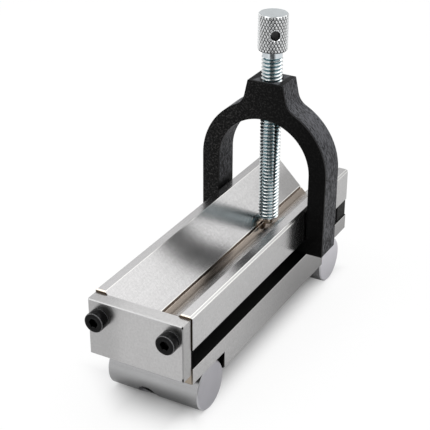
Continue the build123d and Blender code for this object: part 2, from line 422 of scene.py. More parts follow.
def grown(tree, sizes):
    """Runs a Geometry Nodes tree with the sizes given by input name and returns its mesh."""
    host = bpy.data.objects.new("host", bpy.data.meshes.new("host"))
    bpy.context.scene.collection.objects.link(host)
    modifier = host.modifiers.new("nodes", "NODES")
    modifier.node_group = tree
    for item in tree.interface.items_tree:
        if item.item_type == "SOCKET" and item.in_out == "INPUT" and item.name in sizes:
            modifier[item.identifier] = sizes[item.name]
    mesh = bmesh.new()
    result = baked(host).data
    mesh.from_mesh(result)
    bpy.data.objects.remove(host)
    bpy.data.meshes.remove(result)
    return mesh


# Materials


class Finish:
    """A material that is being made: its tree and its surface shader, where the shaded point
    lies, and the colour that the surface has so far."""

    def __init__(self, name, colour, metallic, roughness, specular=0.5):
        self.material = bpy.data.materials.new(name)
        self.material.use_nodes = True
        self.material.node_tree.nodes.clear()
        self.tree = Tree(self.material.node_tree)
        surface = self.tree.node("ShaderNodeBsdfPrincipled", values={
            "Base Color": (*colour, 1), "Metallic": metallic, "Roughness": roughness,
            "Specular IOR Level": specular,
        })
        self.shader = surface.socket.node
        self.place = self.tree.parts(self.tree.node("ShaderNodeTexCoord", out="Object"))
        self.shade = (*colour, 1)
        end = self.tree.made.nodes.new("ShaderNodeOutputMaterial")
        self.tree.made.links.new(surface.socket, end.inputs["Surface"])

    def normal(self):
        """How far the surface faces +X, +Y and +Z."""
        return self.tree.parts(self.tree.node("ShaderNodeTexCoord", out="Normal"))

    def grain(self, sizes, detail, rough, place=None):
        """Noise whose grains have the given sizes in millimetres along X, Y and Z, or along
        the three readings given as the place."""
        point = [at / (size * MM) for at, size in zip(place or self.place, sizes)]
        return self.tree.node("ShaderNodeTexNoise", values={
            "Vector": self.tree.point(*point), "Scale": 1.0, "Detail": detail, "Roughness": rough,
        })

    def paint(self, share, colour):
        """Lays a colour over the shade that the surface has so far."""
        self.shade = self.tree.blend(share, self.shade, colour)

    def feed(self, name, reading):
        self.tree.made.links.new(reading.socket, self.shader.inputs[name])

    def done(self, rough, height, depth, strength):
        """Feeds colour, roughness and a bump of the given depth to the shader."""
        self.feed("Base Color", self.shade)
        self.feed("Roughness", rough)
        bump = {"Strength": strength, "Distance": depth, "Height": height}
        self.feed("Normal", self.tree.node("ShaderNodeBump", values=bump))
        return self.material


class GroundSteel(Finish):
    """Surface-ground tool steel: fine scratches along Y and faint cloudiness. Its facing, its
    noises, its broken edges and its roughness so far are kept for the marks of each piece."""

    def __init__(self, name, tint, roughness):
        super().__init__(name, tint, 1.0, roughness)
        self.facing = self.normal()
        self.scratch = self.grain((0.09, 9, 0.09), 3.0, 0.7)
        self.band = self.grain((0.7, 60, 0.7), 2.0, 0.5)
        self.cloud = self.grain((14, 22, 14), 2.0, 0.5)
        mottle = self.grain((0.7, 0.9, 0.9), 2.0, 0.6)
        level = self.scratch * 0.16 + self.band * 0.10 + self.cloud * 0.12 + mottle * 0.34 + 0.64
        self.shade = self.tree.scaled(self.shade, level)
        self.rough = self.scratch * 0.10 + self.cloud * 0.08 + (roughness - 0.09)
        over, ahead, up = (abs(part) for part in self.facing)
        self.broken = 1 - self.tree.step(most(over, most(ahead, up)), 0.80, 0.95)

    def ground(self):
        """The finished material, with its scratches as relief too."""
        return self.done(self.rough, self.scratch, 0.006 * MM, 0.6)


def plate_steel():
    """End plate: darker on its side faces, with painted shade towards the left, rougher side edges
    with painted highlights, dimmer upper edges, and dark spots at its two right front corners."""
    steel = GroundSteel("plate_steel", (0.52, 0.515, 0.515), 0.30)
    tree = steel.tree
    x, y, z = steel.place
    over, _, up = steel.facing
    steel.paint(tree.step(abs(over), 0.9, 0.98) * 0.27, (0.30, 0.295, 0.29))
    # Painted shade over the left part, round the left head's shadow.
    steel.paint(tree.step(x, -2 * MM, -12 * MM) * 0.30, grey(0.21))
    # Painted highlights on the side edges; the upper edges get a dimmer grey.
    steel.paint(steel.broken, tree.blend(up > 0.3, grey(0.66), grey(0.40)))
    steel.rough = steel.rough + steel.broken * (abs(up) < 0.3) * 0.4
    corner = (x > PLATE_HALF - 0.45 * MM) * (y < PLATE_FRONT + 0.32 * MM)
    corner = corner * ((z > PLATE_TOP - 0.8 * MM) + (z < PLATE_BOTTOM + 1.4 * MM))
    steel.paint(corner, (0.015, 0.014, 0.013))
    return steel.ground()


def mark_flanks_and_sides(steel):
    """Fine marks across the left flank, a duller right flank, and painted shade low on the rear of
    the left flank and towards the rear of the sides."""
    tree = steel.tree
    x, y, z = steel.place
    over, _, up = steel.facing
    sloped = (up > 0.5) * (up < 0.9) * (abs(x) < HALF_WIDTH - 1.0 * MM)
    left_flank = (over > 0.5) * sloped
    right_flank = (over < -0.5) * sloped
    across = steel.grain((7, 0.14, 7), 2.0, 0.6)
    steel.shade = tree.scaled(steel.shade, 1 - left_flank * (across - 0.5) * 0.30)
    steel.rough = steel.rough + right_flank * 0.06
    # Painted shade, standing in for dark reflections, low on the rear of the left flank and
    # towards the rear of the sides.
    low = left_flank * tree.step(z, BODY_TOP - 1.0 * MM, BODY_TOP - 8.0 * MM)
    painted_rear_shade = low * tree.step(y, 36 * MM, 60 * MM) * 0.60
    wall = (abs(x) > HALF_WIDTH - HAIR) * tree.step(y, -50 * MM, 30 * MM)
    painted_rear_shade = painted_rear_shade + wall * (0.16 + (z < SLOT_BOTTOM) * 0.36)
    steel.paint(painted_rear_shade, (0.20, 0.195, 0.19))


def mark_lands_and_edges(steel):
    """Greyer lands, painted highlights on the broken edges outside, lightest along their borders,
    and painted highlight lines along the flanks' tops, the left flank's foot and the slots' lower
    lips."""
    tree = steel.tree
    x, _, z = steel.place
    _, _, up = steel.facing
    side = abs(x)
    inner = side < HALF_WIDTH - 1.0 * MM
    land = (z > BODY_TOP - HAIR) * (up > 0.9)
    steel.paint(land * 0.5, (0.42, 0.415, 0.42))
    # Painted highlights on the outer broken edges.
    middle = 1 - tree.step(abs(side - HALF_WIDTH + 0.45 * MM), 0.10 * MM, 0.30 * MM)
    long_edge = tree.blend(middle, (0.82, 0.82, 0.80), (0.60, 0.595, 0.59))
    steel.paint(steel.broken * (1 - inner), long_edge)
    # Painted highlight lines along the flanks' tops, the left flank's foot and the slots' lower
    # lips.
    crown = inner * (z > BODY_TOP - 0.22 * MM) * (up < 0.9) * 0.7
    foot = (side < GROOVE_HALF + 0.24 * MM) * (up > 0.5) * (up < 0.9) * (x < 0.0)
    lip = (side > HALF_WIDTH - HAIR) * (z > SLOT_BOTTOM - 0.30 * MM) * (z < SLOT_BOTTOM)
    steel.paint(most(crown, most(foot, lip)), (0.74, 0.73, 0.71))


def mark_front_end(steel):
    """Brown heat-treatment oxide on the front end, with painted shade above the slots' lower lips,
    where the end lies behind the end plate, and a painted highlight on the top edge."""
    tree = steel.tree
    _, y, z = steel.place
    _, ahead, up = steel.facing
    front = tree.step(-ahead, 0.5, 0.65) * (y < BODY_FRONT + 0.45 * MM)
    # Painted shade above the slots' lower lips; a painted highlight on the upward-facing top edge.
    below = tree.step(z, SLOT_BOTTOM + 0.2 * MM, SLOT_BOTTOM - 0.6 * MM)
    heat_tint_with_painted_light = tree.blend(steel.cloud, (0.27, 0.225, 0.175), (0.50, 0.44, 0.37))
    heat_tint_with_painted_light = tree.blend(below, (0.10, 0.075, 0.055), heat_tint_with_painted_light)
    heat_tint_with_painted_light = tree.blend(up > 0.4, heat_tint_with_painted_light, (0.66, 0.59, 0.50))
    steel.paint(front, heat_tint_with_painted_light)


def mark_hollows(steel):
    """Notches painted near-black as painted shade, dark milled slots, and a relief groove whose
    walls carry dark brown painted shade and whose floor is beige on the left and greyed on the
    right by a painted reflection."""
    tree = steel.tree
    x, y, z = steel.place
    over, _, _ = steel.facing
    side = abs(x)
    # Painted shade: the notches are painted near-black.
    notch = (z < NOTCH_TOP + 0.05 * MM) * (z > BODY_BOTTOM + 0.28 * MM) * (abs(over) < 0.5)
    steel.paint(notch, (0.03, 0.028, 0.026))
    in_slot = (side > SLOT_FLOOR - 0.2 * MM) * (side < HALF_WIDTH - HAIR)
    in_slot = in_slot * (z < SLOT_TOP + 0.01 * MM) * (z > SLOT_BOTTOM - 0.01 * MM)
    in_slot = in_slot * (y > BODY_FRONT + HAIR) * (y < BODY_REAR - HAIR)
    steel.paint(in_slot, tree.blend(steel.scratch, grey(0.025), (0.080, 0.080, 0.081)))
    steel.rough = steel.rough + in_slot * 0.25
    above_underside = z > 25 * MM
    in_groove = (side < GROOVE_HALF + HAIR) * (z < FLANK_BOTTOM + HAIR) * above_underside
    # The floor's right part is greyed as a painted reflection; the walls get dark brown painted
    # shade.
    rightward = steel.band * 0.4 + tree.step(x, -1.4 * MM, 2.4 * MM) * 0.8
    groove_tint_and_painted_shade = tree.blend(rightward, (0.60, 0.52, 0.45), (0.24, 0.235, 0.225))
    groove_tint_and_painted_shade = tree.blend(tree.step(abs(over), 0.5, 0.9), groove_tint_and_painted_shade, (0.06, 0.043, 0.030))
    steel.paint(in_groove, groove_tint_and_painted_shade)
    steel.rough = steel.rough - in_groove * 0.04


def block_steel():
    """V-block: ground steel with the marks of its flanks, edges, front end and hollows."""
    steel = GroundSteel("block_steel", (0.53, 0.525, 0.525), 0.20)
    mark_flanks_and_sides(steel)
    mark_lands_and_edges(steel)
    mark_front_end(steel)
    mark_hollows(steel)
    return steel.ground()


def roll_steel():
    """Rolls: ground round, so the scratches run round X, with plain grey end faces, the rear
    roll's painted lighter than the front roll's, a painted highlight round their rims, and
    counterbores painted black as painted shade."""
    roughness = 0.26
    steel = Finish("roll_steel", (0.44, 0.44, 0.445), 1.0, roughness)
    tree = steel.tree
    x, y, z = steel.place
    scratch = steel.grain((0.10, 7, 7), 3.0, 0.7)
    cloud = steel.grain((9, 12, 12), 2.0, 0.5)
    steel.shade = tree.scaled(steel.shade, scratch * 0.14 + cloud * 0.12 + 0.84)
    over, _, _ = steel.normal()
    facing = abs(over)
    end_face = tree.step(facing, 0.3, 0.4)
    rise = z - ROLL_RADIUS
    reach = distance(abs(y - BODY_MIDDLE) - ROLL_OFFSET, rise)
    # Painted highlight round the end face's rim and on its chamfer.
    painted_rim_highlight = tree.step(reach, ROLL_RADIUS - 0.75 * MM, ROLL_RADIUS - 0.45 * MM) * 0.3
    rim = most(painted_rim_highlight, (facing > 0.3) * (facing < 0.9))
    # The rear roll's end face is painted lighter than the front one's, as painted light.
    rearward = tree.step(y, -30 * MM, 40 * MM) * 0.8 + cloud * 0.3
    matt = tree.blend(rearward, (0.48, 0.475, 0.505), (0.82, 0.81, 0.85))
    steel.paint(end_face, tree.blend(rim, matt, (0.60, 0.60, 0.62)))
    # Painted shade: the counterbores are painted black.
    bored = distance(x - ROLL_SCREW_X, rise) < ROLL_BORE + 0.1 * MM
    bored = bored * (reach < ROLL_RADIUS - HAIR)
    steel.paint(bored * (1 - end_face), grey(0.02))
    rough = scratch * 0.08 + end_face * 0.22 + (roughness - 0.04)
    return steel.done(rough, scratch, 0.005 * MM, 0.5)


def black_casting(name, rim_wear_and_highlight):
    """The yoke: black, finely pebbled front and back, and a greyer rim whose streaks follow
    the legs and the arch. The pebbled faces carry painted glints that fade to the right as
    painted light; the rim is dark along its front edge, has painted shade low inside the legs
    and high inside the right half of the arch, a painted highlight along its edges, and is
    painted lighter on upward slopes and darker where it faces straight up. The last argument
    sets how light the rim's streaks and painted highlights are; the slot stops have the same
    finish with less of it."""
    casting = Finish(name, (0.02, 0.02, 0.021), 0.0, 0.5, specular=0.12)
    tree = casting.tree
    x, y, z = casting.place
    _, facing, up = casting.normal()
    side, facing = abs(x), abs(facing)
    rim = 1 - tree.step(facing, 0.25, 0.45)
    arch_top, arch_middle = 84 * MM, 22.5 * MM
    turn = tree.maths("ARCTAN2", z - ARCH_CENTRE, side)
    on_arch = (z > ARCH_CENTRE) * (z < arch_top)
    path = z * (1 - on_arch) + (turn * arch_middle + ARCH_CENTRE) * on_arch
    streak = casting.grain((1.5, 0.55, 3), 4.0, 0.75, (path, y, side))
    fine = casting.grain((0.75, 0.75, 0.75), 3.0, 0.65)
    cloud = casting.grain((9, 9, 9), 2.0, 0.5)
    # Painted light: the lighter specks on the pebbled faces are painted glints, fading from left
    # to right.
    leftward = tree.step(x, 22 * MM, -30 * MM) * 0.9 + 0.1
    pebble_glints = tree.step(fine, 0.48, 0.66) * leftward
    front = tree.blend(pebble_glints, (0.0006, 0.0006, 0.0007), (0.050, 0.049, 0.048))
    # Painted light: lighter on upward slopes, darker where the rim faces straight up.
    tilt = most(up, 0.0) * 0.08 - tree.step(up, 0.85, 0.97) * 0.26
    # A painted highlight along the softened edges.
    painted_edge_highlight = tree.between(facing, 0.08, 0.2, 0.5, 0.6)
    # Streaks from use, with the painted light by facing and the painted edge highlight mixed in.
    wear_and_painted_light = tree.step(streak + (cloud - 0.5) * 0.2 + tilt, 0.40, 0.66)
    wear_and_painted_light = most(wear_and_painted_light, painted_edge_highlight * 0.85)
    edge = tree.blend(wear_and_painted_light, (0.006, 0.006, 0.007), (0.128 * rim_wear_and_highlight, 0.130 * rim_wear_and_highlight, 0.142 * rim_wear_and_highlight))
    behind_edge = y - YOKE_AXIS + YOKE_THICKNESS / 2
    line = tree.between(behind_edge, 0.05 * MM, 0.15 * MM, 0.9 * MM, 1.3 * MM)
    inner = (up < 0.02) * (side < LEG_INSIDE + 0.3 * MM)
    # Painted shade inside the legs near the block and high inside the right half of the arch.
    shaded = inner * most(tree.step(z, 50 * MM, 45 * MM), (x > 0.0) * (z > 60 * MM))
    edge = tree.blend(most(line * 0.9, shaded * 0.95), edge, grey(0.001))
    seam = tree.between(facing, 0.60, 0.75, 0.97, 0.999) * (up < 0.5)
    casting.shade = tree.blend(rim, front, edge)
    casting.paint(seam * 0.9, grey(0.001))
    rough = 0.56 - rim * wear_and_painted_light * 0.14 + (fine - 0.5) * 0.2
    relief = fine * (1 - rim) + (streak * 0.8 + fine * 0.3) * rim
    return casting.done(rough, relief, 0.09 * MM, 0.8)


def black_oxide():
    """Cap screws: oiled black oxide, with painted highlight rings along the head's two turned
    edges and painted shade in the socket. Height and reach are a point's distance above the head's
    seat and from the screw's axis."""
    oxide = Finish("black_oxide", (0.013, 0.013, 0.014), 0.0, 0.25, specular=0.09)
    tree = oxide.tree
    speck = oxide.grain((0.25, 0.25, 0.25), 3.0, 0.6)
    height, reach = (
        tree.node("ShaderNodeAttribute", {"attribute_name": name}, out="Fac")
        for name in ("height", "reach"))
    # Painted highlight rings along the head's two turned edges.
    outer = tree.step(reach, CAP_RADIUS - 0.42 * MM, CAP_RADIUS - 0.16 * MM)
    upper = 1 - tree.step(abs(height - (CAP_HEIGHT - 0.20 * MM)), 0.05 * MM, 0.24 * MM)
    lower = 1 - tree.step(abs(height - 0.30 * MM), 0.04 * MM, 0.16 * MM)
    painted_edge_highlight = (upper + lower) * outer * tree.step(speck, 0.30, 0.55)
    # Painted shade deep in the hexagon socket.
    deep = (reach < 1.80 * MM) * (height < CAP_HEIGHT - 0.12 * MM)
    oxide.shade = tree.blend(speck, grey(0.001), (0.007, 0.007, 0.0075))
    oxide.paint(painted_edge_highlight, (0.17, 0.17, 0.175))
    oxide.paint(deep, grey(0.0006))
    return oxide.done(speck * 0.16 + 0.16, speck, 0.02 * MM, 0.4)


def zinc_plate():
    """The clamp screw: bright zinc with a blue-green cast; the thread's roots get dark blue-green
    painted shade.
    """
    zinc = Finish("zinc_plate", (0.74, 0.79, 0.80), 1.0, 0.22)
    tree = zinc.tree
    x, y, z = zinc.place
    # Painted shade in the thread's roots.
    root = 1 - tree.step(
        distance(x, y - YOKE_AXIS), SCREW_RADIUS - 0.80 * MM, SCREW_RADIUS - 0.25 * MM)
    patch = zinc.grain((2, 2, 3), 3.0, 0.6)
    rolled = zinc.grain((0.5, 0.5, 0.08), 3.0, 0.6)
    neck_foot = SCREW_SHOULDER - NECK
    neck = tree.step(z, neck_foot - 0.3 * MM, neck_foot + 0.2 * MM)
    zinc.shade = tree.blend(patch, (0.80, 0.84, 0.85), (0.95, 0.97, 0.97))
    zinc.paint(neck, (0.72, 0.77, 0.80))
    zinc.paint(root, (0.13, 0.26, 0.30))
    rough = rolled * 0.10 + root * 0.10 + 0.10
    return zinc.done(rough, rolled, 0.01 * MM, 0.5)


def nickel_plate():
    """The knurled head: bright crests over grooves darkened as painted shade, a matt turned top
    and a hole painted dark as painted shade.
    """
    nickel = Finish("nickel_plate", (0.72, 0.74, 0.75), 1.0, 0.2, specular=0.08)
    tree = nickel.tree
    x, y, z = nickel.place
    back = y - YOKE_AXIS
    out = distance(x, back)
    across = x * math.cos(TOMMY_TURN) + back * math.sin(TOMMY_TURN)
    from_hole = distance(across, z - HEAD_MIDDLE)
    in_hole = (from_hole < TOMMY_RADIUS + 0.03 * MM) * (out < HEAD_RADIUS)
    mouth = (from_hole < TOMMY_RADIUS + 0.45 * MM) * (1 - in_hole)
    # Painted shade in the knurl's grooves, except round the hole's mouth.
    groove = 1 - tree.step(out, HEAD_RADIUS - 0.30 * MM, HEAD_RADIUS - 0.06 * MM)
    on_top = tree.step(z, HEAD_TOP - 0.10 * MM, HEAD_TOP - 0.02 * MM)
    on_wall = 1 - tree.step(z, HEAD_TOP - 0.40 * MM, HEAD_TOP - 0.30 * MM)
    rings = nickel.grain((0.12, 8, 8), 3.0, 0.6, (out, x, y))
    sheen = nickel.grain((3, 3, 3), 2.0, 0.5)
    patch = nickel.grain((2, 2, 2), 3.0, 0.6)
    matt = tree.blend(rings * 0.6 + sheen * 0.6, (0.47, 0.50, 0.515), (0.65, 0.685, 0.70))
    nickel.shade = tree.blend(patch, (0.86, 0.88, 0.89), (0.98, 0.99, 0.99))
    nickel.paint(groove * on_wall * (1 - mouth), (0.140, 0.145, 0.150))
    # Painted shade: the tommy bar hole is painted dark and made less metallic.
    nickel.paint(in_hole, (0.010, 0.011, 0.011))
    nickel.paint(on_top, matt)
    nickel.feed("Metallic", 1 - in_hole * 0.9)
    rough = patch * 0.08 + on_top * 0.26 + in_hole * 0.3 + 0.10
    relief = rings * on_top + patch * (1 - on_top)
    return nickel.done(rough, relief, 0.01 * MM, 0.4)


def dull_bronze():
    """Thrust tip: dull bronze, showing slight use."""
    bronze = Finish("bronze", (0.50, 0.40, 0.32), 1.0, 0.34)
    patch = bronze.grain((0.9, 0.9, 0.9), 4.0, 0.6)
    bronze.shade = bronze.tree.blend(patch, (0.68, 0.54, 0.43), (0.99, 0.87, 0.75))
    return bronze.done(patch * 0.2 + 0.24, patch, 0.01 * MM, 0.5)


BLOCK_STEEL = block_steel()
PLATE_STEEL = plate_steel()
ROLL_STEEL = roll_steel()
CASTING = black_casting("black_casting", 1.0)
PLUG = black_casting("plug_casting", 0.15)
OXIDE = black_oxide()
ZINC = zinc_plate()
NICKEL = nickel_plate()
BRONZE = dull_bronze()
THREAD = thread_nodes()
KNURL = knurl_nodes()


# The vise


def dress(node, material):
    """Gives a node of the solids its material."""
    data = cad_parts[node].data
    data.materials.clear()
    data.materials.append(material)


def thread(sizes, sides):
    """A thread's mesh, with the sizes given by input name and so many sides to a turn."""
    turns = math.ceil((sizes["Top"] - sizes["Bottom"]) / sizes["Pitch"]) + 2
    more = {"Turns": turns, "Columns": turns * sides + 1, "Material": ZINC}
    return grown(THREAD, {**sizes, **more})


def clamp_screw():
    """Threaded rod, plain neck and spigot, with the blind bore that holds the thrust tip."""
    thread_top = SCREW_SHOULDER - NECK
    neck_radius = SCREW_RADIUS - 0.22 * MM
    end_radius = SCREW_RADIUS - 0.75 * MM
    mesh = thread({
        "Radius": SCREW_RADIUS, "Pitch": THREAD_PITCH, "Depth": 0.78 * MM, "Lead": 0.75 * MM,
        "Bottom": SCREW_BOTTOM, "Bottom radius": end_radius,
        "Top": thread_top, "Top radius": neck_radius,
    }, SIDES)
    loft(mesh, turned([
        (end_radius, SCREW_BOTTOM),
        (TIP_BORE_RADIUS, SCREW_BOTTOM),
        (TIP_BORE_RADIUS, SCREW_BOTTOM + TIP_BORE_DEPTH),
    ], SIDES), closed_start=False)
    loft(mesh, turned([
        (neck_radius, thread_top),
        (neck_radius, SCREW_SHOULDER - HAIR),
        (SPIGOT_RADIUS, SCREW_SHOULDER - HAIR),
        (SPIGOT_RADIUS, SCREW_SHOULDER + SPIGOT_LENGTH),
    ], SIDES), closed_start=False)
    mesh.transform(Matrix.Translation((0, YOKE_AXIS, 0)))
    made = piece("threaded_screw", mesh, ZINC, 24)
    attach(made, "screw")
    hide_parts("clamp_screw")


def knurled_head():
    """Diamond-knurled head, bored for the spigot and cross-drilled for the tommy bar."""
    columns = KNURL_TEETH * COLUMNS_PER_TOOTH
    bevel = 0.42 * MM
    depth = 0.36 * MM
    mesh = grown(KNURL, {
        "Radius": HEAD_RADIUS, "Depth": depth, "Bottom": SCREW_SHOULDER,
        "Length": HEAD_TOP - SCREW_SHOULDER, "Teeth": KNURL_TEETH, "Diamond height": 2.25 * MM,
        "Crest": 2.2, "Edge radius": HEAD_FILLET, "Bevel": bevel,
        "Columns": columns + 1, "Rows": 121, "Material": NICKEL,
    })
    bore = SPIGOT_RADIUS + HAIR
    loft(mesh, turned([
        (HEAD_RADIUS - HEAD_FILLET - depth, SCREW_SHOULDER),
        (bore, SCREW_SHOULDER),
        (bore, SCREW_SHOULDER + SPIGOT_LENGTH + HAIR),
    ], columns), closed_start=False)
    loft(mesh, turned([
        (HEAD_RADIUS - bevel, HEAD_TOP),
        (HEAD_RADIUS - bevel - 0.25 * MM, HEAD_TOP),
        (HEAD_RADIUS / 2, HEAD_TOP),
    ], columns), closed_start=False)
    mesh.transform(Matrix.Translation((0, YOKE_AXIS, 0)))
    made = piece("tommy_head", mesh, NICKEL, 50)
    along = Vector((math.sin(TOMMY_TURN), -math.cos(TOMMY_TURN), 0))
    turn = along.to_track_quat("Z", "Y").to_matrix().to_4x4()
    flare = TOMMY_RADIUS + 1.2 * MM
    carve(made, [
        (flare, -HEAD_RADIUS - 1.0 * MM),
        (TOMMY_RADIUS, -HEAD_RADIUS + 0.42 * MM),
        (TOMMY_RADIUS, HEAD_RADIUS - 0.42 * MM),
        (flare, HEAD_RADIUS + 1.0 * MM),
    ], SIDES, Matrix.Translation((0, YOKE_AXIS, HEAD_MIDDLE)) @ turn)
    made.data.shade_smooth()
    made.data.set_sharp_from_angle(angle=math.radians(32))
    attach(made, "screw")
    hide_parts("knurled_head")


def yoke_outline():
    """Right half of the yoke's outline in X and Z, from the inner crown down the inside, round
    the toe, up the outside and over the root of the boss to its top. The root's centre lies
    on a line parallel to the boss's side, where its arc touches the arch."""
    centre = Vector((0, ARCH_CENTRE))
    shoulder = Vector((BOSS_TOP_HALF, BOSS_TOP))
    down = Vector((math.sin(BOSS_DRAFT), -math.cos(BOSS_DRAFT)))
    outward = Vector((math.cos(BOSS_DRAFT), math.sin(BOSS_DRAFT)))
    start = shoulder + BOSS_ROOT * outward - centre
    half = start.dot(down)
    rest = half * half - start.length_squared + (LEG_OUTSIDE + BOSS_ROOT) ** 2
    reach = start + (-half - math.sqrt(rest)) * down
    meeting = math.atan2(reach.y, reach.x)
    toe = [
        Vector((LEG_INSIDE, TOE_TOP)), Vector((TOE_INSIDE, TOE_TOP)),
        Vector((TOE_INSIDE, TOE_BOTTOM)), Vector((LEG_OUTSIDE, TOE_BOTTOM)),
    ]
    inside = arc(centre, LEG_INSIDE, math.pi / 2, 0, 45)
    outside = arc(centre, LEG_OUTSIDE, 0, meeting, 36)
    root = arc(centre + reach, BOSS_ROOT, meeting - math.pi, BOSS_DRAFT - math.pi, 12)[1:]
    return inside + toe + outside + root + [shoulder]


def clamp_yoke():
    """Arched yoke with softened edges and a countersunk bore in its boss."""
    half = yoke_outline()
    outline = half + [Vector((-p.x, p.y)) for p in reversed(half)][:-1]
    mesh = bmesh.new()
    front, back = (
        [mesh.verts.new((p.x, YOKE_AXIS + side * YOKE_THICKNESS / 2, p.y)) for p in outline]
        for side in (-1, 1))
    count = len(outline)
    mesh.faces.new(front)
    mesh.faces.new(list(reversed(back)))
    for step in range(count):
        after = (step + 1) % count
        mesh.faces.new((front[after], front[step], back[step], back[after]))
    made = piece("arched_yoke", mesh, CASTING, 30)
    softened = made.modifiers.new("edges", "BEVEL")
    softened.width = YOKE_EDGE
    softened.segments = 3
    softened.limit_method = "ANGLE"
    softened.angle_limit = math.radians(30)
    softened.harden_normals = True
    baked(made)
    bore = SCREW_RADIUS + 0.05 * MM
    carve(made, [
        (bore, ARCH_CENTRE + LEG_INSIDE / 2),
        (bore, BOSS_TOP - BORE_MOUTH),
        (bore + 2 * BORE_MOUTH, BOSS_TOP + BORE_MOUTH),
    ], BORE_SIDES, Matrix.Translation((0, YOKE_AXIS, 0)))
    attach(made, "clamp")
    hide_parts("clamp_yoke")


def cap_thread(length):
    """A cap screw's shank, pointing down from the head's seat at Z = 0."""
    sides = SIDES // 2
    end_radius = CAP_SHANK - 0.5 * MM
    mesh = thread({
        "Radius": CAP_SHANK, "Pitch": CAP_PITCH, "Depth": 0.40 * MM, "Lead": 0.5 * MM,
        "Bottom": -length, "Bottom radius": end_radius,
        "Top": -CAP_RUN_OUT, "Top radius": CAP_SHANK,
    }, sides)
    end = [(end_radius, -length), (0.5 * MM, -length)]
    plain = [(CAP_SHANK, -CAP_RUN_OUT), (CAP_SHANK, 0.1 * MM)]
    loft(mesh, turned(end, sides), closed_start=False)
    loft(mesh, turned(plain, sides), closed_start=False)
    return mesh


def cap_screw(node, seat, along, length):
    """Socket head cap screw: rounded rims, a hexagon socket with a drill point, and a thread."""
    mesh = cap_thread(length)
    socket = hexagon(SOCKET_FLATS)
    socket_floor = CAP_HEIGHT - SOCKET_DEPTH
    mouth, countersink, drill = 1.86 * MM, 1.74 * MM, 0.9 * MM
    loft(mesh, turned([
        (CAP_SHANK - 0.1 * MM, 0.0),
        (CAP_RADIUS - 0.22 * MM, 0.0),
        (CAP_RADIUS - 0.06 * MM, 0.06 * MM),
        (CAP_RADIUS, 0.22 * MM),
        (CAP_RADIUS, CAP_HEIGHT - 0.42 * MM),
        (CAP_RADIUS - 0.10 * MM, CAP_HEIGHT - 0.16 * MM),
        (CAP_RADIUS - 0.28 * MM, CAP_HEIGHT - 0.03 * MM),
        (CAP_RADIUS - 0.45 * MM, CAP_HEIGHT),
        (mouth, CAP_HEIGHT),
        (lambda angle: min(countersink, socket(angle) + 0.10 * MM), CAP_HEIGHT - 0.06 * MM),
        (socket, CAP_HEIGHT - 0.2 * MM),
        (socket, socket_floor),
        (drill, socket_floor),
        (0.1 * MM, socket_floor - 0.4 * MM),
    ], SIDES))
    heights, reaches = (mesh.verts.layers.float.new(name) for name in ("height", "reach"))
    for corner in mesh.verts:
        corner[heights] = corner.co.z
        corner[reaches] = math.hypot(corner.co.x, corner.co.y)
    turn = along.to_track_quat("Z", "X").to_matrix().to_4x4()
    mesh.transform(Matrix.Translation(seat) @ turn)
    made = piece(node + "_detailed", mesh, OXIDE, 32)
    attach(made, "block")
    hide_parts(node)


dress("v_block_body", BLOCK_STEEL)
dress("end_plate", PLATE_STEEL)
dress("thrust_tip", BRONZE)
for roll in ("front_roll", "rear_roll"):
    dress(roll, ROLL_STEEL)
for stop in ("left_slot_stop", "right_slot_stop"):
    dress(stop, PLUG)

clamp_screw()
knurled_head()
clamp_yoke()
for screw_name, side in (("left_plate_screw", -1), ("right_plate_screw", 1)):
    plate_seat = Vector((side * PLATE_SCREW_X, PLATE_FRONT, PLATE_SCREW_Z))
    cap_screw(screw_name, plate_seat, Vector((0, -1, 0)), PLATE_SCREW_LENGTH)
for screw_name, side in (("front_roll_screw", -1), ("rear_roll_screw", 1)):
    inward = Vector((0, -side * math.cos(ROLL_SCREW_TILT), math.sin(ROLL_SCREW_TILT)))
    axis_point = Vector((ROLL_SCREW_X, BODY_MIDDLE + side * ROLL_OFFSET, ROLL_RADIUS))
    cap_screw(screw_name, axis_point - inward * ROLL_SCREW_SEAT, -inward, ROLL_SCREW_LENGTH)


# Studio


